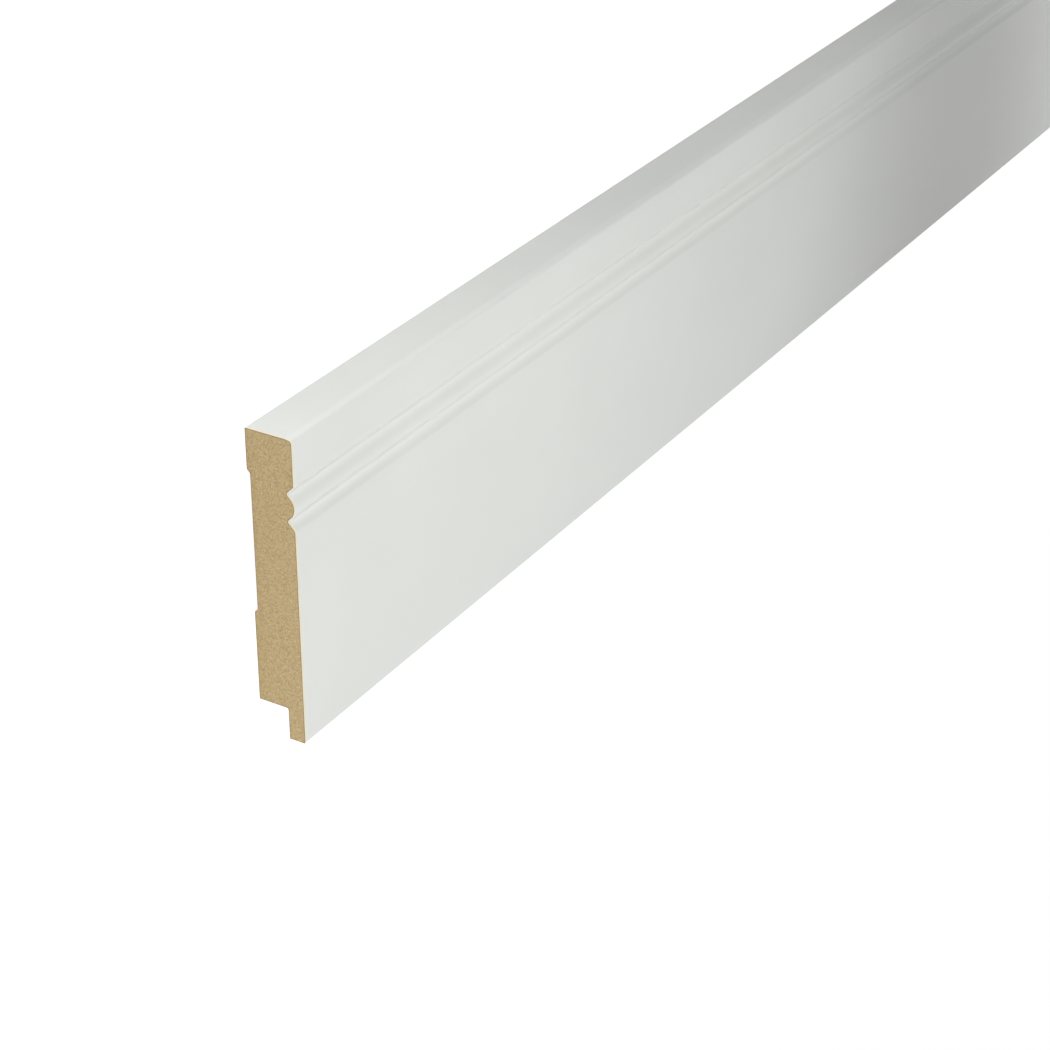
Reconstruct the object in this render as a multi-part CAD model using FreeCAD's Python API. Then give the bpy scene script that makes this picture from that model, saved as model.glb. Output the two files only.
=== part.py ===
"""Moulded skirting board, one machined length of MDF, lying on its wall side.

The whole length has one section, so that section is drawn once and extruded.
It is a rectangle of board with these cut into it: a bead between two V-shaped
quirks near the top of the face, an eased top edge, a shallow relief along the
wall side, and a rebate along the floor edge that leaves a thin lip at the face.

Frame, in millimetres: X runs along the length, Y from the floor edge to the top
edge, and Z from the wall side up to the moulded face. The origin is the middle
of the board's footprint, on the plane of the wall side.
"""

import FreeCAD, Part
import math
import os

# The length as it is sold
LENGTH = 2400.0
HEIGHT = 120.0
THICKNESS = 19.0

# Front arrises, between the face and the two long edges
TOP_ARRIS_RADIUS = 1.2
FLOOR_ARRIS_RADIUS = 0.5

# Moulding: a bead flush with the face, sunk between two quirks
BEAD_BELOW_TOP = 26.1
BEAD_RADIUS = 5.1
QUIRK_DEPTH = 2.8
QUIRK_SLOPE = 45.0
QUIRK_ROOT_RADIUS = 1.0
UPPER_SHOULDER_RADIUS = 0.3
LOWER_SHOULDER_RADIUS = 2.0

# Relief along the wall side, which leaves two lands to bear on the wall
TOP_LAND = 15.6
FLOOR_LAND = 35.7
RELIEF_DEPTH = 1.3
RELIEF_SLOPE = 45.0
RELIEF_MOUTH_RADIUS = 0.5
RELIEF_FLOOR_RADIUS = 0.8

# Rebate along the floor edge, behind the lip
REBATE_HEIGHT = 12.7
LIP_THICKNESS = 6.6
REBATE_CORNER_RADIUS = 0.8

SHARP = 0.0


def section_point(up, out):
    """Point of the section on the first sawn end, up from the floor edge and out from the wall."""
    return FreeCAD.Vector(-LENGTH / 2, up - HEIGHT / 2, out)


def peak_beyond_arc(radius, slope):
    """How far two sides of this slope meet beyond the crown of the arc that rounds them."""
    return radius * (1 / math.cos(math.radians(slope)) - 1)


def relief_corners():
    """Corners of the wall side's relief, from its floor-side mouth to its top-side mouth."""
    low_mouth = REBATE_HEIGHT + FLOOR_LAND
    high_mouth = HEIGHT - TOP_LAND
    run = RELIEF_DEPTH / math.tan(math.radians(RELIEF_SLOPE))
    return [
        (low_mouth, 0, RELIEF_MOUTH_RADIUS),
        (low_mouth + run, RELIEF_DEPTH, RELIEF_FLOOR_RADIUS),
        (high_mouth - run, RELIEF_DEPTH, RELIEF_FLOOR_RADIUS),
        (high_mouth, 0, RELIEF_MOUTH_RADIUS),
    ]


def moulding_corners():
    """Corners of quirk, bead and quirk, from the upper shoulder down to the lower one.

    The quirk sides run at one slope, so each root and peak is a corner where two
    sides meet, and its radius brings it back to the stated depth or to the face.
    """
    bead = HEIGHT - BEAD_BELOW_TOP
    peak = THICKNESS + peak_beyond_arc(BEAD_RADIUS, QUIRK_SLOPE)
    root = THICKNESS - QUIRK_DEPTH - peak_beyond_arc(QUIRK_ROOT_RADIUS, QUIRK_SLOPE)
    run = 1 / math.tan(math.radians(QUIRK_SLOPE))
    root_offset = (peak - root) * run
    shoulder_offset = root_offset + (THICKNESS - root) * run
    return [
        (bead + shoulder_offset, THICKNESS, UPPER_SHOULDER_RADIUS),
        (bead + root_offset, root, QUIRK_ROOT_RADIUS),
        (bead, peak, BEAD_RADIUS),
        (bead - root_offset, root, QUIRK_ROOT_RADIUS),
        (bead - shoulder_offset, THICKNESS, LOWER_SHOULDER_RADIUS),
    ]


def section_corners():
    """Every corner of the section in order, up the wall side and back down the face."""
    lip_back = THICKNESS - LIP_THICKNESS
    return [
        (0, lip_back, SHARP),
        (REBATE_HEIGHT, lip_back, REBATE_CORNER_RADIUS),
        (REBATE_HEIGHT, 0, SHARP),
        *relief_corners(),
        (HEIGHT, 0, SHARP),
        (HEIGHT, THICKNESS, TOP_ARRIS_RADIUS),
        *moulding_corners(),
        (0, THICKNESS, FLOOR_ARRIS_RADIUS),
    ]


def rounded_corner(before, corner, after, radius):
    """Start, middle and end of the arc that rounds one corner, tangent to both its sides."""
    towards_before = (before - corner).normalize()
    towards_after = (after - corner).normalize()
    half_angle = towards_before.getAngle(towards_after) / 2
    setback = radius / math.tan(half_angle)
    inwards = (towards_before + towards_after).normalize()
    crown = radius / math.sin(half_angle) - radius
    return corner + towards_before * setback, corner + inwards * crown, corner + towards_after * setback


def section_wire():
    """Closed outline of the section, straight between its corners and rounded at them."""
    corners = section_corners()
    points = [section_point(up, out) for up, out, _ in corners]
    edges = []
    line_start = None
    first_start = None
    for index, (_, _, radius) in enumerate(corners):
        corner = points[index]
        if radius > SHARP:
            after = points[(index + 1) % len(points)]
            start, middle, end = rounded_corner(points[index - 1], corner, after, radius)
        else:
            start = end = corner
        if line_start is not None:
            edges.append(Part.LineSegment(line_start, start).toShape())
        else:
            first_start = start
        if radius > SHARP:
            edges.append(Part.Arc(start, middle, end).toShape())
        line_start = end
    edges.append(Part.LineSegment(line_start, first_start).toShape())
    return Part.Wire(edges)


def skirting_board():
    """The board: its section extruded from one sawn end to the other."""
    return Part.Face(section_wire()).extrude(FreeCAD.Vector(LENGTH, 0, 0))


def main():
    os.makedirs("parts", exist_ok=True)
    board = skirting_board()
    board.exportStep("parts/skirting_board.step")
    print("valid", board.isValid(), "section mm2", round(board.Volume / LENGTH, 1), "box", board.BoundBox)


main()
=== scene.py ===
"""Looks of the moulded skirting board, one machined length of MDF lying on its wall side.

The board's section is drawn as one flat outline at the photographed end: a
rectangle with a quirked bead near the top of its face, a top edge that slopes
a little to its round arris, a shallow relief on the wall side and a rebate
behind the floor edge. The outline is drawn out to the board's length, and each
side of it gets the finish it has on the real board.

Places are metres in the part's own frame: X runs along the length, Y from the
floor edge to the top edge, and Z from the wall side up to the moulded face.
"""

import logging
import math
from collections.abc import Callable
from dataclasses import dataclass, field
from enum import Enum

import bmesh
import bpy
from mathutils import Matrix, Vector


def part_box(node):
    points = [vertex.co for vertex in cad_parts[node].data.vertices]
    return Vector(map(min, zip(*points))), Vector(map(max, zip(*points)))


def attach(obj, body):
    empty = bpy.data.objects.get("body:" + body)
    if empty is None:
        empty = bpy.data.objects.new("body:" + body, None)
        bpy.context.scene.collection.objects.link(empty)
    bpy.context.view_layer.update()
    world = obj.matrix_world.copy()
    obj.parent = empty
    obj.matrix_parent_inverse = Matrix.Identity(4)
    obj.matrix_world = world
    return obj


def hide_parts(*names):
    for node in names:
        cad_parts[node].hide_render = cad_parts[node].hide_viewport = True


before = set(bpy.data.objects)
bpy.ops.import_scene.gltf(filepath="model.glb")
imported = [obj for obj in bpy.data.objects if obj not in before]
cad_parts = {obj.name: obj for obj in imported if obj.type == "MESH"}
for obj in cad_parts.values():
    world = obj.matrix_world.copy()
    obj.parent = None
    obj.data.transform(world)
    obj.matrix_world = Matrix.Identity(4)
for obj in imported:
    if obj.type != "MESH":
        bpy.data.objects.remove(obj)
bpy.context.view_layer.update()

MM = 0.001
BOARD_NODE = "skirting_board"
TOUCH = 0.01 * MM

# The sRGB curve, which is straight up to its knee and a power above it
SRGB_KNEE = 0.04045
SRGB_SLOPE = 12.92
SRGB_OFFSET = 0.055
SRGB_POWER = 2.4

# Most values of an uneven pattern lie between these
PATTERN_SPAN = (0.3, 0.7)
# A share is painted over its whole span
WHOLE_SHARE = (0.0, 1.0)
# A wave texture of scale 1 runs through this many radians in a metre
WAVE_RATE = 20.0

log = logging.getLogger("board")


class Finish(Enum):
    """The finishes of the board's faces, each with its place in the list of materials."""

    WHITE_COAT = 0
    COAT_EDGE = 1
    CRUSHED_RIM = 2
    SAWN = 3
    MILLED = 4


def linear(colour: str) -> tuple[float, float, float, float]:
    """Turns an sRGB hex colour to the linear one that a shader takes.

    Args:
        colour: Six hex digits after a hash.

    Returns:
        Linear red, green and blue, and an alpha of 1.
    """
    parts = []
    for place in (1, 3, 5):
        part = int(colour[place : place + 2], 16) / 255
        if part <= SRGB_KNEE:
            parts.append(part / SRGB_SLOPE)
        else:
            parts.append(((part + SRGB_OFFSET) / (1 + SRGB_OFFSET)) ** SRGB_POWER)
    red, green, blue = parts
    return red, green, blue, 1.0


def add_node(
    tree: bpy.types.NodeTree,
    kind: str,
    inputs: dict[str | int, object] | None = None,
    links: dict[str | int, bpy.types.NodeSocket] | None = None,
    **settings: object,
) -> bpy.types.Node:
    """Adds one shader node, sets it up and joins what feeds it.

    Args:
        tree: The node tree that gets the node.
        kind: The node's type.
        inputs: Values for its input sockets, by name or number.
        links: Output sockets that feed its inputs, by name or number.
        settings: Properties of the node itself.

    Returns:
        The new node.
    """
    node = tree.nodes.new(kind)
    for name, value in settings.items():
        setattr(node, name, value)
    for name, value in (inputs or {}).items():
        node.inputs[name].default_value = value
    for name, source in (links or {}).items():
        tree.links.new(source, node.inputs[name])
    return node


def new_material(name: str) -> tuple[bpy.types.Material, bpy.types.NodeTree]:
    """Makes an empty node material.

    Args:
        name: The material's name.

    Returns:
        The material and its node tree.
    """
    material = bpy.data.materials.new(name)
    material.use_nodes = True
    material.node_tree.nodes.clear()
    return material, material.node_tree


def patches(
    tree: bpy.types.NodeTree,
    size: tuple[float, float, float],
    detail: float = 3.0,
    roughness: float = 0.55,
) -> bpy.types.NodeSocket:
    """Adds an uneven pattern whose patches have a given real size.

    Args:
        tree: The material's node tree.
        size: Length of one patch along X, Y and Z, in metres.
        detail: Octaves of finer patches within a patch.
        roughness: How strong the finer octaves are.

    Returns:
        The pattern's value, from 0 to 1 and mostly near 0.5.
    """
    place = add_node(tree, "ShaderNodeTexCoord")
    fitted = add_node(
        tree,
        "ShaderNodeMapping",
        inputs={"Scale": [1 / length for length in size]},
        links={"Vector": place.outputs["Object"]},
    )
    noise = add_node(
        tree,
        "ShaderNodeTexNoise",
        inputs={"Scale": 1.0, "Detail": detail, "Roughness": roughness},
        links={"Vector": fitted.outputs["Vector"]},
    )
    return noise.outputs["Fac"]


def paint(
    tree: bpy.types.NodeTree,
    pattern: bpy.types.NodeSocket,
    between: tuple[float, float],
    low: bpy.types.NodeSocket | str,
    high: bpy.types.NodeSocket | str,
    share: float = 1.0,
) -> bpy.types.NodeSocket:
    """Paints one colour over another, where a pattern is high.

    Args:
        tree: The material's node tree.
        pattern: The pattern's value.
        between: Values of the pattern where the high colour starts to show and where it shows fully.
        low: The colour below, as a hex value or the socket that gives it.
        high: The colour on top, as a hex value or the socket that gives it.
        share: How much of the high colour shows at most.

    Returns:
        The painted colour.
    """
    cover = add_node(
        tree,
        "ShaderNodeMapRange",
        inputs={"From Min": between[0], "From Max": between[1], "To Max": share},
        links={"Value": pattern},
    )
    mix = add_node(tree, "ShaderNodeMix", links={0: cover.outputs["Result"]}, data_type="RGBA")
    for number, colour in ((6, low), (7, high)):
        if isinstance(colour, str):
            mix.inputs[number].default_value = linear(colour)
        else:
            tree.links.new(colour, mix.inputs[number])
    return mix.outputs[2]


def relief(
    tree: bpy.types.NodeTree,
    layers: list[tuple[bpy.types.NodeSocket, float]],
) -> bpy.types.NodeSocket:
    """Raises the surface by patterns that lie over each other, the coarsest first.

    Args:
        tree: The material's node tree.
        layers: Each pattern's value and its real height in metres.

    Returns:
        The raised normal.
    """
    normal = None
    for pattern, height in layers:
        links = {"Height": pattern} if normal is None else {"Height": pattern, "Normal": normal}
        bump = add_node(tree, "ShaderNodeBump", inputs={"Strength": 1.0, "Distance": height}, links=links)
        normal = bump.outputs["Normal"]
    return normal


def finished(
    tree: bpy.types.NodeTree,
    colour: bpy.types.NodeSocket,
    pattern: bpy.types.NodeSocket,
    roughness: tuple[float, float],
    normal: bpy.types.NodeSocket,
    ior: float,
) -> None:
    """Ends a finish with its surface, whose sheen varies with a pattern.

    Args:
        tree: The material's node tree.
        colour: The surface's colour.
        pattern: The pattern that the sheen follows.
        roughness: Roughness where the pattern is low and where it is high.
        normal: The surface's raised normal.
        ior: Index of refraction, the same all over the surface.
    """
    low, high = PATTERN_SPAN
    sheen = add_node(
        tree,
        "ShaderNodeMapRange",
        inputs={"From Min": low, "From Max": high, "To Min": roughness[0], "To Max": roughness[1]},
        links={"Value": pattern},
    )
    surface = add_node(
        tree,
        "ShaderNodeBsdfPrincipled",
        inputs={"IOR": ior},
        links={"Base Color": colour, "Roughness": sheen.outputs["Result"], "Normal": normal},
    )
    add_node(tree, "ShaderNodeOutputMaterial", links={"Surface": surface.outputs["BSDF"]})


@dataclass(frozen=True)
class WhiteCoat:
    """Satin white lacquer, sprayed over sanded primer: soft sheen, faint orange peel, hints of the cutter.

    Painted light makes it whiter at the bottom of the quirks, lifting the shade that falls there, and a
    painted highlight makes the top edge whiter just before the arris. Its first four fields say where the
    bead, the face and the top edge lie and how deep the quirks are.
    """

    bead_line: float
    face: float
    top: float
    quirk_depth: float
    pale: str = "#E5E7E3"
    deep: str = "#E2E4E0"
    # The whiter tone of the painted light in the quirks and of the painted highlight by the arris
    painted_light: str = "#EEF0EC"
    ior: float = 1.5
    satin: tuple[float, float] = (0.40, 0.50)
    cloud: float = 70 * MM
    clouded: tuple[float, float] = (0.35, 0.65)
    peel: float = 0.9 * MM
    peel_depth: float = 0.006 * MM
    streak: tuple[float, float] = (160 * MM, 1.6 * MM)
    streak_depth: float = 0.004 * MM
    # How far up from the quirks' bottom and how far from the bead the painted light in the quirks reaches
    quirk_light_depth: float = 1.9 * MM
    quirk_light_reach: float = 9 * MM
    # Where the painted highlight by the arris reaches, and how much of the whiter tone it shows
    highlight_reach: float = 4.0 * MM
    highlight_depth: float = 0.9 * MM
    highlight_share: float = 0.4

    def painted_quirk_light(self, tree: bpy.types.NodeTree, place: bpy.types.Node) -> bpy.types.NodeSocket:
        """Adds the share of painted light, which lifts the quirks' shade: full at their bottom and nothing
        elsewhere.

        Args:
            tree: The material's node tree.
            place: The node that gives X, Y and Z on the board.

        Returns:
            The share, from 0 to 1.
        """
        bottom = self.face - self.quirk_depth
        deep = add_node(
            tree,
            "ShaderNodeMapRange",
            inputs={"From Min": bottom + self.quirk_light_depth, "From Max": bottom},
            links={"Value": place.outputs["Z"]},
        )
        aside = add_node(
            tree,
            "ShaderNodeMath",
            inputs={1: self.bead_line},
            links={0: place.outputs["Y"]},
            operation="SUBTRACT",
        )
        away = add_node(tree, "ShaderNodeMath", links={0: aside.outputs[0]}, operation="ABSOLUTE")
        near = add_node(
            tree,
            "ShaderNodeMath",
            inputs={1: self.quirk_light_reach},
            links={0: away.outputs[0]},
            operation="LESS_THAN",
        )
        links = {0: deep.outputs["Result"], 1: near.outputs[0]}
        return add_node(tree, "ShaderNodeMath", links=links, operation="MULTIPLY").outputs[0]

    def painted_arris_highlight(self, tree: bpy.types.NodeTree, place: bpy.types.Node) -> bpy.types.NodeSocket:
        """Adds the share of painted highlight on the top edge, which grows towards the arris and ends below
        it.

        Args:
            tree: The material's node tree.
            place: The node that gives X, Y and Z on the board.

        Returns:
            The share, from 0 to 1.
        """
        outwards = add_node(
            tree,
            "ShaderNodeMapRange",
            inputs={"From Min": self.face - self.highlight_reach, "From Max": self.face - self.highlight_reach / 2},
            links={"Value": place.outputs["Z"]},
        )
        upwards = add_node(
            tree,
            "ShaderNodeMapRange",
            inputs={"From Min": self.top - self.highlight_depth, "From Max": self.top},
            links={"Value": place.outputs["Y"]},
        )
        links = {0: outwards.outputs["Result"], 1: upwards.outputs["Result"]}
        return add_node(tree, "ShaderNodeMath", links=links, operation="MULTIPLY").outputs[0]

    def material(self) -> bpy.types.Material:
        """Builds the coat's node material.

        Returns:
            The material.
        """
        material, tree = new_material("satin_white_lacquer")
        cloud = patches(tree, (self.cloud,) * 3, detail=2.0)
        flat = paint(tree, cloud, self.clouded, self.deep, self.pale)
        coordinates = add_node(tree, "ShaderNodeTexCoord")
        place = add_node(tree, "ShaderNodeSeparateXYZ", links={0: coordinates.outputs["Object"]})
        # Painted light whitens the bottom of the quirks, lifting the shade that falls there
        painted_light = paint(tree, self.painted_quirk_light(tree, place), WHOLE_SHARE, flat, self.painted_light)
        # A painted highlight whitens the top edge next to the arris
        colour = paint(tree, self.painted_arris_highlight(tree, place), WHOLE_SHARE, painted_light, self.painted_light, share=self.highlight_share)
        length, width = self.streak
        streak = patches(tree, (length, width, width))
        peel = patches(tree, (self.peel,) * 3, detail=2.0, roughness=0.4)
        normal = relief(tree, [(streak, self.streak_depth), (peel, self.peel_depth)])
        finished(tree, colour, streak, self.satin, normal, self.ior)
        return material


@dataclass(frozen=True)
class CoatEdge:
    """The coat's own edge beside a sawn end: a thin cream line of bared primer.

    The saw has chipped it here and there, so that the board shows through.
    """

    cream: str = "#EDE6D1"
    board: str = "#D6C8A6"
    chipped: tuple[float, float] = (0.70, 0.78)
    ior: float = 1.5
    roughness: tuple[float, float] = (0.55, 0.8)
    chip: float = 0.7 * MM
    chip_depth: float = 0.02 * MM

    def material(self) -> bpy.types.Material:
        """Builds the coat edge's node material.

        Returns:
            The material.
        """
        material, tree = new_material("sawn_primer_edge")
        chip = patches(tree, (self.chip,) * 3)
        colour = paint(tree, chip, self.chipped, self.cream, self.board)
        finished(tree, colour, chip, self.roughness, relief(tree, [(chip, self.chip_depth)]), self.ior)
        return material


@dataclass(frozen=True)
class CrushedRim:
    """MDF at the very edge of a saw cut: its fibres are crushed flat, which reads as a thin darker line."""

    dark: str = "#87734F"
    light: str = "#9C875F"
    mottled: tuple[float, float] = (0.35, 0.65)
    ior: float = 1.46
    roughness: tuple[float, float] = (0.7, 0.85)
    fibre: float = 0.6 * MM
    fibre_depth: float = 0.02 * MM

    def material(self) -> bpy.types.Material:
        """Builds the crushed rim's node material.

        Returns:
            The material.
        """
        material, tree = new_material("crushed_mdf_rim")
        fibre = patches(tree, (self.fibre,) * 3)
        colour = paint(tree, fibre, self.mottled, self.dark, self.light)
        finished(tree, colour, fibre, self.roughness, relief(tree, [(fibre, self.fibre_depth)]), self.ior)
        return material


@dataclass(frozen=True)
class SawnFibreboard:
    """MDF across a saw cut: matt tan felt of wood fibre, mottled finely, with faint arcs from the blade.

    Single fibres are too fine to show, so the felt is drawn in clumps of about 1 mm.
    """

    pale: str = "#CBB58C"
    deep: str = "#AB9468"
    fleck: str = "#8F764A"
    tuft: str = "#DAC7A0"
    ior: float = 1.46
    roughness: tuple[float, float] = (0.82, 0.95)
    mottle: float = 0.85 * MM
    mottled: tuple[float, float] = (0.34, 0.66)
    fleck_size: float = 0.7 * MM
    tuft_size: float = 0.75 * MM
    tuft_stretch: float = 1.4
    clump: tuple[float, float] = (0.62, 0.72)
    clump_share: float = 0.6
    fibre: float = 0.35 * MM
    fibre_depth: float = 0.05 * MM
    arc_pitch: float = 1.3 * MM
    arc_depth: float = 0.012 * MM
    blade_centre: tuple[float, float] = (150 * MM, 50 * MM)

    def blade_arcs(self, tree: bpy.types.NodeTree) -> bpy.types.NodeSocket:
        """Adds the arcs that the circular saw leaves.

        Their centre lies below the board's middle and behind its wall side.

        Args:
            tree: The material's node tree.

        Returns:
            The height of the arcs, from 0 to 1.
        """
        place = add_node(tree, "ShaderNodeTexCoord")
        moved = add_node(
            tree,
            "ShaderNodeMapping",
            inputs={"Location": (0.0, *self.blade_centre), "Scale": (0.0, 1.0, 1.0)},
            links={"Vector": place.outputs["Object"]},
        )
        arcs = add_node(
            tree,
            "ShaderNodeTexWave",
            inputs={"Scale": math.tau / (WAVE_RATE * self.arc_pitch), "Distortion": 0.6, "Detail": 1.0},
            links={"Vector": moved.outputs["Vector"]},
            wave_type="RINGS",
            rings_direction="SPHERICAL",
        )
        return arcs.outputs["Fac"]

    def material(self) -> bpy.types.Material:
        """Builds the sawn end's node material.

        Returns:
            The material.
        """
        material, tree = new_material("sawn_mdf")
        mottle = patches(tree, (self.mottle,) * 3, detail=4.0, roughness=0.75)
        felt = paint(tree, mottle, self.mottled, self.deep, self.pale)
        flecks = patches(tree, (self.fleck_size,) * 3, detail=1.0)
        flecked = paint(tree, flecks, self.clump, felt, self.fleck, share=self.clump_share)
        tuft_height = self.tuft_size * self.tuft_stretch
        tufts = patches(tree, (self.tuft_size, tuft_height, self.tuft_size), detail=1.0)
        colour = paint(tree, tufts, self.clump, flecked, self.tuft, share=self.clump_share)
        fibre = patches(tree, (self.fibre,) * 3, detail=4.0, roughness=0.6)
        normal = relief(tree, [(self.blade_arcs(tree), self.arc_depth), (fibre, self.fibre_depth)])
        finished(tree, colour, fibre, self.roughness, normal, self.ior)
        return material


@dataclass(frozen=True)
class MilledFibreboard:
    """MDF left bare by the moulder: smoother than a sawn end, brushed lengthwise, with fine knife marks."""

    pale: str = "#C2A97C"
    deep: str = "#AB9164"
    ior: float = 1.46
    roughness: tuple[float, float] = (0.62, 0.8)
    brush: tuple[float, float] = (9 * MM, 0.6 * MM)
    brush_depth: float = 0.02 * MM
    blotch: float = 30 * MM
    blotched: tuple[float, float] = (0.4, 0.75)
    blotch_share: float = 0.35
    knife_pitch: float = 1.9 * MM
    knife_depth: float = 0.006 * MM

    def knife_marks(self, tree: bpy.types.NodeTree) -> bpy.types.NodeSocket:
        """Adds the even marks across the length that the moulder's turning knives leave.

        Args:
            tree: The material's node tree.

        Returns:
            The height of the marks, from 0 to 1.
        """
        place = add_node(tree, "ShaderNodeTexCoord")
        marks = add_node(
            tree,
            "ShaderNodeTexWave",
            inputs={"Scale": math.tau / (WAVE_RATE * self.knife_pitch), "Distortion": 0.0},
            links={"Vector": place.outputs["Object"]},
            wave_type="BANDS",
            bands_direction="X",
        )
        return marks.outputs["Fac"]

    def material(self) -> bpy.types.Material:
        """Builds the milled sides' node material.

        Returns:
            The material.
        """
        material, tree = new_material("milled_mdf")
        length, width = self.brush
        brush = patches(tree, (length, width, width), detail=4.0, roughness=0.65)
        blotch = patches(tree, (self.blotch,) * 3, detail=2.0)
        fine = paint(tree, brush, PATTERN_SPAN, self.deep, self.pale)
        colour = paint(tree, blotch, self.blotched, fine, self.deep, share=self.blotch_share)
        normal = relief(tree, [(self.knife_marks(tree), self.knife_depth), (brush, self.brush_depth)])
        finished(tree, colour, brush, self.roughness, normal, self.ior)
        return material


@dataclass(frozen=True)
class Corner:
    """A corner of the section, up from the floor edge and out from the wall side, and its rounding."""

    up: float
    out: float
    radius: float = 0.0
    steps: int = 1


@dataclass(frozen=True)
class QuirkedBead:
    """The moulding: a bead flush with the face, sunk between two V-shaped quirks."""

    below_top: float = 26.1 * MM
    radius: float = 5.1 * MM
    quirk_depth: float = 2.8 * MM
    slope: float = math.radians(45)
    root_radius: float = 1.0 * MM
    upper_shoulder_radius: float = 0.3 * MM
    lower_shoulder_radius: float = 2.0 * MM
    bead_steps: int = 24
    root_steps: int = 10
    shoulder_steps: int = 6

    def beyond_arc(self, radius: float) -> float:
        """How far two sides of the slope meet beyond the crown of the arc that rounds them."""
        return radius * (1 / math.cos(self.slope) - 1)

    def corners(self, height: float, thickness: float) -> list[Corner]:
        """Works out the moulding's corners.

        Args:
            height: The board's height.
            thickness: The board's thickness.

        Returns:
            Upper shoulder, upper root, bead, lower root and lower shoulder.
        """
        bead = height - self.below_top
        peak = thickness + self.beyond_arc(self.radius)
        root = thickness - self.quirk_depth - self.beyond_arc(self.root_radius)
        run = 1 / math.tan(self.slope)
        to_root = (peak - root) * run
        to_shoulder = to_root + (thickness - root) * run
        return [
            Corner(bead + to_shoulder, thickness, self.upper_shoulder_radius, self.shoulder_steps),
            Corner(bead + to_root, root, self.root_radius, self.root_steps),
            Corner(bead, peak, self.radius, self.bead_steps),
            Corner(bead - to_root, root, self.root_radius, self.root_steps),
            Corner(bead - to_shoulder, thickness, self.lower_shoulder_radius, self.shoulder_steps),
        ]


@dataclass(frozen=True)
class WallRelief:
    """The shallow relief along the wall side, between the two lands that bear on the wall."""

    top_land: float = 15.6 * MM
    floor_land: float = 35.7 * MM
    depth: float = 1.3 * MM
    slope: float = math.radians(45)
    mouth_radius: float = 0.5 * MM
    floor_radius: float = 0.8 * MM
    steps: int = 4

    def corners(self, height: float, rebate_height: float) -> list[Corner]:
        """Works out the relief's corners.

        Args:
            height: The board's height.
            rebate_height: Height of the rebate below the lower land.

        Returns:
            The four corners, from the floor side to the top side.
        """
        low, high = rebate_height + self.floor_land, height - self.top_land
        run = self.depth / math.tan(self.slope)
        return [
            Corner(low, 0.0, self.mouth_radius, self.steps),
            Corner(low + run, self.depth, self.floor_radius, self.steps),
            Corner(high - run, self.depth, self.floor_radius, self.steps),
            Corner(high, 0.0, self.mouth_radius, self.steps),
        ]


@dataclass(frozen=True)
class FloorRebate:
    """The rebate along the floor edge, behind the thin lip at the face."""

    height: float = 12.7 * MM
    lip: float = 6.6 * MM
    corner_radius: float = 0.8 * MM
    steps: int = 5


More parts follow.
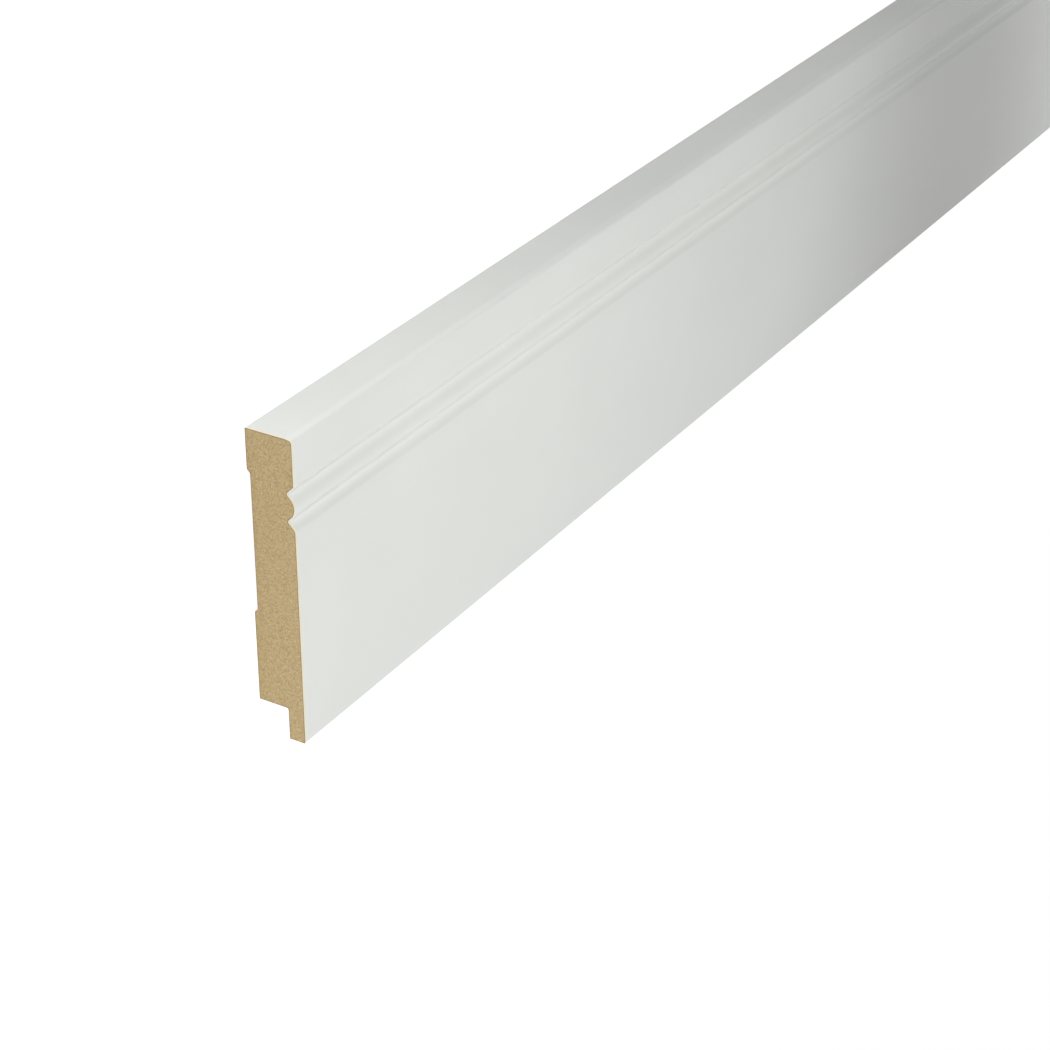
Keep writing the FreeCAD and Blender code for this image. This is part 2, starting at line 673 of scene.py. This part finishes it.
@dataclass
class MouldedBoard:
    """The whole board: its section drawn flat at the near end, then drawn out to its length.

    Its top edge is level up to a soft crest, slopes a little towards the face, and meets it in a round arris.
    """

    bead: QuirkedBead = field(default_factory=QuirkedBead)
    relief: WallRelief = field(default_factory=WallRelief)
    rebate: FloorRebate = field(default_factory=FloorRebate)
    slope_run: float = 2.4 * MM
    slope_drop: float = 0.45 * MM
    slope_crest: float = 5.0 * MM
    top_arris: float = 1.2 * MM
    floor_arris: float = 0.5 * MM
    arris_steps: int = 12
    coat_edge: float = 1.1 * MM
    crushed_rim: float = 0.28 * MM
    smooth_below: float = math.radians(30)
    straight_below: float = math.radians(0.5)
    end_lean: float = 0.5
    coat_lean: float = 0.02

    def __post_init__(self) -> None:
        """Takes the board's overall box from the fixed frame."""
        self.low, self.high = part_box(BOARD_NODE)
        self.length, self.height, self.thickness = self.high - self.low

    def at(self, up: float, out: float) -> Vector:
        """The place of a point of the section on the near end."""
        return Vector((self.low.x, self.low.y + up, self.low.z + out))

    def corners(self) -> list[Corner]:
        """Every corner that is rounded or stands off the plain rectangle.

        Returns:
            The corners of the rebate, the relief, the top edge's slope, the moulding and the floor arris.
        """
        lip_back = self.thickness - self.rebate.lip
        return [
            Corner(self.rebate.height, lip_back, self.rebate.corner_radius, self.rebate.steps),
            *self.relief.corners(self.height, self.rebate.height),
            Corner(self.height, self.thickness - self.slope_run, self.slope_crest, self.arris_steps),
            Corner(self.height - self.slope_drop, self.thickness, self.top_arris, self.arris_steps),
            *self.bead.corners(self.height, self.thickness),
            Corner(0.0, self.thickness, self.floor_arris, self.arris_steps),
        ]

    def select(
        self,
        mesh: bmesh.types.BMesh,
        wanted: Callable[[Vector], bool],
        faces: bool = False,
    ) -> int:
        """Selects only the vertices, or the faces, at the wanted places.

        Args:
            mesh: The mesh in edit mode.
            wanted: Says of a place whether it is wanted.
            faces: Whether faces are selected, by their centres, and not vertices.

        Returns:
            How many were selected.
        """
        bpy.ops.mesh.select_all(action="DESELECT")
        bpy.context.tool_settings.mesh_select_mode = (not faces, False, faces)
        count = 0
        for item in mesh.faces if faces else mesh.verts:
            place = item.calc_center_median() if faces else item.co
            if wanted(place):
                item.select_set(True)
                count += 1
        mesh.select_flush_mode()
        return count

    def draw_blank(self) -> bpy.types.Object:
        """Adds the flat rectangle of the section at the near end, facing outwards.

        Returns:
            The board's object, in object mode.
        """
        bpy.ops.object.select_all(action="DESELECT")
        middle = self.at(self.height / 2, self.thickness / 2)
        bpy.ops.mesh.primitive_plane_add(size=1.0, location=middle, rotation=(0.0, -math.pi / 2, 0.0))
        board = bpy.context.object
        board.name = board.data.name = "moulded_board"
        bpy.ops.transform.resize(value=(self.thickness, self.height, 1.0), orient_type="LOCAL")
        bpy.ops.object.transform_apply(location=True, rotation=True, scale=True)
        return board

    def cut_section(self, board: bpy.types.Object) -> None:
        """Cuts the rectangle at each corner's height and takes out the rebate, the relief and the quirks.

        The top edge's shallow slope towards the face is then planed off its corner.

        Args:
            board: The board, in edit mode.
        """
        lip_back = self.thickness - self.rebate.lip
        cuts = [
            (self.at(corner.up, 0.0), (0, 1, 0))
            for corner in self.corners()
            if 0 < corner.up < self.height
        ]
        cuts.append((self.at(0.0, lip_back), (0, 0, 1)))
        for place, normal in cuts:
            bpy.ops.mesh.select_all(action="SELECT")
            bpy.ops.mesh.bisect(plane_co=place, plane_no=normal)
        mesh = bmesh.from_edit_mesh(board.data)
        inner = self.at(self.rebate.height, lip_back)
        self.select(mesh, lambda place: place.y < inner.y and place.z < inner.z, faces=True)
        bpy.ops.mesh.delete(type="FACE")
        mesh = bmesh.from_edit_mesh(board.data)
        floor = self.relief.corners(self.height, self.rebate.height)[1:3]
        first, last = (self.at(corner.up, 0.0).y for corner in floor)
        wall = self.low.z + TOUCH
        self.select(mesh, lambda place: first - TOUCH < place.y < last + TOUCH and place.z < wall)
        bpy.ops.transform.translate(value=(0.0, 0.0, self.relief.depth))
        face = self.high.z - TOUCH
        for corner in self.bead.corners(self.height, self.thickness)[1:4]:
            line = self.at(corner.up, 0.0).y
            mesh = bmesh.from_edit_mesh(board.data)
            self.select(mesh, lambda place: abs(place.y - line) < TOUCH and place.z > face)
            bpy.ops.transform.translate(value=(0.0, 0.0, corner.out - self.thickness))
        bpy.ops.mesh.select_all(action="SELECT")
        crest = self.at(self.height, self.thickness - self.slope_run)
        outwards = Vector((0.0, self.slope_run, self.slope_drop)).normalized()
        bpy.ops.mesh.bisect(plane_co=crest, plane_no=outwards, clear_outer=True)
        bpy.ops.mesh.select_all(action="SELECT")
        bpy.ops.mesh.dissolve_limited(angle_limit=self.straight_below)

    def round_corners(self, board: bpy.types.Object) -> None:
        """Rounds each corner of the flat outline with its own radius.

        Args:
            board: The board, in edit mode.
        """
        for corner in self.corners():
            mesh = bmesh.from_edit_mesh(board.data)
            place = self.at(corner.up, corner.out)
            count = self.select(mesh, lambda point: (point - place).length < TOUCH)
            point = next((vertex for vertex in mesh.verts if vertex.select), None)
            if count != 1 or point is None:
                raise ValueError(f"{count} points at corner {corner}")
            sides = [edge.other_vert(point).co - point.co for edge in point.link_edges]
            setback = corner.radius / math.tan(sides[0].angle(sides[1]) / 2)
            bpy.ops.mesh.bevel(
                affect="VERTICES",
                offset_type="OFFSET",
                offset=setback,
                segments=corner.steps,
                profile=0.5,
            )

    def draw_out(self, board: bpy.types.Object) -> None:
        """Extrudes the outline to the board's length, then marks the crushed rims and the coat's edges.

        Args:
            board: The board, in edit mode.
        """
        bpy.context.tool_settings.mesh_select_mode = (False, False, True)
        bpy.ops.mesh.select_all(action="SELECT")
        bpy.ops.mesh.extrude_region_move(TRANSFORM_OT_translate={"value": (self.length, 0.0, 0.0)})
        bpy.ops.mesh.select_all(action="SELECT")
        bpy.ops.mesh.normals_make_consistent(inside=False)
        mesh = bmesh.from_edit_mesh(board.data)
        ends = (self.low.x, self.high.x)
        self.select(mesh, lambda place: min(abs(place.x - end) for end in ends) < TOUCH, faces=True)
        bpy.ops.mesh.inset(thickness=self.crushed_rim, depth=0.0, use_even_offset=True)
        for edge in (self.low.x + self.coat_edge, self.high.x - self.coat_edge):
            bpy.ops.mesh.select_all(action="SELECT")
            bpy.ops.mesh.bisect(plane_co=(edge, 0.0, 0.0), plane_no=(1.0, 0.0, 0.0))

    def finish_of(self, face: bmesh.types.BMFace) -> Finish:
        """Says which finish a face has, by the way it looks and where it lies.

        Args:
            face: A face of the finished board.

        Returns:
            The face's finish.
        """
        place = face.calc_center_median()
        if abs(face.normal.x) > self.end_lean:
            # The inset leaves a rim of four-sided faces round one face with many sides
            return Finish.CRUSHED_RIM if len(face.edges) == 4 else Finish.SAWN
        on_top = face.normal.y > self.end_lean and place.y > self.high.y - TOUCH
        if face.normal.z < self.coat_lean and not on_top:
            return Finish.MILLED
        by_end = min(place.x - self.low.x, self.high.x - place.x) < self.coat_edge
        return Finish.COAT_EDGE if by_end else Finish.WHITE_COAT

    def dress(self, board: bpy.types.Object) -> None:
        """Gives each face its finish.

        Args:
            board: The board, in object mode.
        """
        bead_line = self.at(self.height - self.bead.below_top, 0.0).y
        finishes = {
            Finish.WHITE_COAT: WhiteCoat(bead_line, self.high.z, self.high.y, self.bead.quirk_depth),
            Finish.COAT_EDGE: CoatEdge(),
            Finish.CRUSHED_RIM: CrushedRim(),
            Finish.SAWN: SawnFibreboard(),
            Finish.MILLED: MilledFibreboard(),
        }
        for finish in Finish:
            board.data.materials.append(finishes[finish].material())
        mesh = bmesh.new()
        mesh.from_mesh(board.data)
        for face in mesh.faces:
            face.material_index = self.finish_of(face).value
        mesh.to_mesh(board.data)
        mesh.free()

    def build(self) -> bpy.types.Object:
        """Models and dresses the board, and puts it in the place of the plain one.

        Returns:
            The finished board.
        """
        board = self.draw_blank()
        bpy.ops.object.mode_set(mode="EDIT")
        self.cut_section(board)
        self.round_corners(board)
        self.draw_out(board)
        bpy.ops.object.mode_set(mode="OBJECT")
        bpy.ops.object.shade_smooth_by_angle(angle=self.smooth_below)
        self.dress(board)
        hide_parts(BOARD_NODE)
        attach(board, "root")
        return board


@dataclass(frozen=True)
class SoftBox:
    """A soft lamp with a grid, which throws its light where it is aimed.

    Its size is how wide and how tall it is. It isn't mirrored in the coat, whose sheen would turn plain white
    where a lamp stands opposite the eye.
    """

    name: str
    place: tuple[float, float, float]
    aim: tuple[float, float, float]
    power: float
    spread: float
    size: tuple[float, float] = (0.40, 0.40)

    def build(self) -> None:
        """Adds the lamp."""
        lamp = bpy.data.lights.new(self.name, "AREA")
        lamp.shape = "RECTANGLE"
        lamp.size, lamp.size_y = self.size
        lamp.energy = self.power
        lamp.spread = self.spread
        holder = bpy.data.objects.new(self.name, lamp)
        bpy.context.scene.collection.objects.link(holder)
        holder.location = self.place
        sight = Vector(self.aim) - Vector(self.place)
        holder.rotation_euler = sight.to_track_quat("-Z", "Y").to_euler()
        holder.visible_glossy = False


@dataclass
class Studio:
    """A plain white floor that keeps the board's shadow, an even surrounding light and soft lamps.

    Four lamps and a low strip beside the top edge light the near end, where the light fades along the board.
    Two long boxes light the rest of it from both sides at a plain level, and the last box lights its far end.
    """

    surround: float = 0.30
    floor_side: float = 80.0
    floor_paper: str = "#E6E6E6"
    shadow_paper: str = "#9C9C9C"
    glow: float = 0.90
    lamps: tuple[SoftBox, ...] = (
        SoftBox("lamp_far_top_side", (-0.513, 0.644, 0.415), (-0.910, 0.0, 0.0), 0.09, math.radians(45)),
        SoftBox("lamp_over_face", (-0.945, 0.065, 0.427), (-0.949, 0.0, 0.0), 0.148, math.radians(50)),
        SoftBox(
            "lamp_near_floor_side",
            (-1.699, -0.468, 0.358),
            (-1.296, 0.0, 0.0),
            0.885,
            math.radians(76),
        ),
        SoftBox("lamp_near_top_side", (-1.232, 0.638, 0.561), (-1.638, 0.0, 0.0), 1.37, math.radians(86)),
        SoftBox(
            "strip_beside_top_edge",
            (-1.155, 0.378, 0.008),
            (-1.211, 0.060, 0.008),
            0.036,
            math.radians(84),
            (0.25, 0.012),
        ),
        SoftBox(
            "long_box_top_side",
            (0.375, 0.42, 0.42),
            (0.375, 0.0, 0.0),
            0.73,
            math.radians(50),
            (1.69, 0.20),
        ),
        SoftBox(
            "long_box_floor_side",
            (0.375, -0.42, 0.42),
            (0.375, 0.0, 0.0),
            0.73,
            math.radians(50),
            (1.69, 0.20),
        ),
        SoftBox(
            "box_beyond_far_end",
            (1.80, 0.0, 0.17),
            (1.20, 0.0, 0.01),
            0.29,
            math.radians(60),
            (0.30, 0.24),
        ),
    )

    def seen_share(self, tree: bpy.types.NodeTree) -> bpy.types.NodeSocket:
        """Adds the share of a ray that shows the background, straight, mirrored or through glass.

        Args:
            tree: The node tree of the world or the floor.

        Returns:
            The share, 1 for camera, glossy and transmission rays and 0 for the others.
        """
        path = add_node(tree, "ShaderNodeLightPath")
        mirrored = add_node(
            tree,
            "ShaderNodeMath",
            links={0: path.outputs["Is Camera Ray"], 1: path.outputs["Is Glossy Ray"]},
            operation="MAXIMUM",
        )
        seen = add_node(
            tree,
            "ShaderNodeMath",
            links={0: mirrored.outputs[0], 1: path.outputs["Is Transmission Ray"]},
            operation="MAXIMUM",
        )
        return seen.outputs[0]

    def build_world(self) -> None:
        """Sets the even light from all round, which shows as plain white."""
        world = bpy.data.worlds.new("plain_surround")
        bpy.context.scene.world = world
        world.use_nodes = True
        tree = world.node_tree
        tree.nodes.clear()
        light = add_node(tree, "ShaderNodeBackground", inputs={"Strength": self.surround})
        white = add_node(tree, "ShaderNodeBackground", inputs={"Strength": 1.0})
        for background in (light, white):
            background.inputs["Color"].default_value = (1.0, 1.0, 1.0, 1.0)
        mix = add_node(
            tree,
            "ShaderNodeMixShader",
            links={0: self.seen_share(tree), 1: light.outputs[0], 2: white.outputs[0]},
        )
        add_node(tree, "ShaderNodeOutputWorld", links={"Surface": mix.outputs[0]})

    def build_floor(self) -> None:
        """Lays the floor under the board, which isn't part of the object."""
        bpy.ops.object.select_all(action="DESELECT")
        bpy.ops.mesh.primitive_plane_add(size=self.floor_side, location=(0.0, 0.0, 0.0))
        floor = bpy.context.object
        floor.name = "studio_floor"
        material, tree = new_material("white_paper_floor")
        paper = add_node(tree, "ShaderNodeBsdfDiffuse", inputs={"Color": linear(self.floor_paper)})
        shaded = add_node(tree, "ShaderNodeBsdfDiffuse", inputs={"Color": linear(self.shadow_paper)})
        glow = add_node(tree, "ShaderNodeEmission", inputs={"Strength": self.glow})
        shown = add_node(tree, "ShaderNodeAddShader", links={0: shaded.outputs[0], 1: glow.outputs[0]})
        mix = add_node(
            tree,
            "ShaderNodeMixShader",
            links={0: self.seen_share(tree), 1: paper.outputs[0], 2: shown.outputs[0]},
        )
        add_node(tree, "ShaderNodeOutputMaterial", links={"Surface": mix.outputs[0]})
        floor.data.materials.append(material)

    def build(self) -> None:
        """Sets up the world, the floor and the lamps."""
        self.build_world()
        self.build_floor()
        for lamp in self.lamps:
            lamp.build()


@dataclass(frozen=True)
class PhotoCamera:
    """The photograph's camera, rolled so that the lying board stands as it does there."""

    place: tuple[float, float, float] = (-1.83728, 0.46893, 0.49398)
    aim: tuple[float, float, float] = (-1.05023, -0.04323, 0.019)
    roll: float = math.radians(106.35)
    lens: float = 92.31
    sensor: float = 36.0
    clip: tuple[float, float] = (0.05, 100.0)

    def build(self) -> None:
        """Adds the camera and makes it the scene's own."""
        camera = bpy.data.cameras.new("photo_camera")
        camera.lens = self.lens
        camera.sensor_width = self.sensor
        camera.clip_start, camera.clip_end = self.clip
        holder = bpy.data.objects.new("photo_camera", camera)
        bpy.context.scene.collection.objects.link(holder)
        sight = Vector(self.aim) - Vector(self.place)
        turn = sight.to_track_quat("-Z", "Y").to_matrix() @ Matrix.Rotation(self.roll, 3, "Z")
        holder.location = self.place
        holder.rotation_euler = turn.to_euler()
        bpy.context.scene.camera = holder


def report(piece: bpy.types.Object) -> None:
    """Logs a piece's name, faces and box.

    Args:
        piece: The finished piece.
    """
    sizes = ", ".join(f"{side / MM:.2f}" for side in piece.dimensions)
    log.info("%s: %d faces, %s mm", piece.name, len(piece.data.polygons), sizes)


def main() -> None:
    """Builds the camera, the studio and the board."""
    logging.basicConfig(level=logging.INFO, format="%(message)s")
    bpy.context.scene.view_settings.view_transform = "Standard"
    PhotoCamera().build()
    Studio().build()
    report(MouldedBoard().build())


if __name__ == "__main__":
    main()
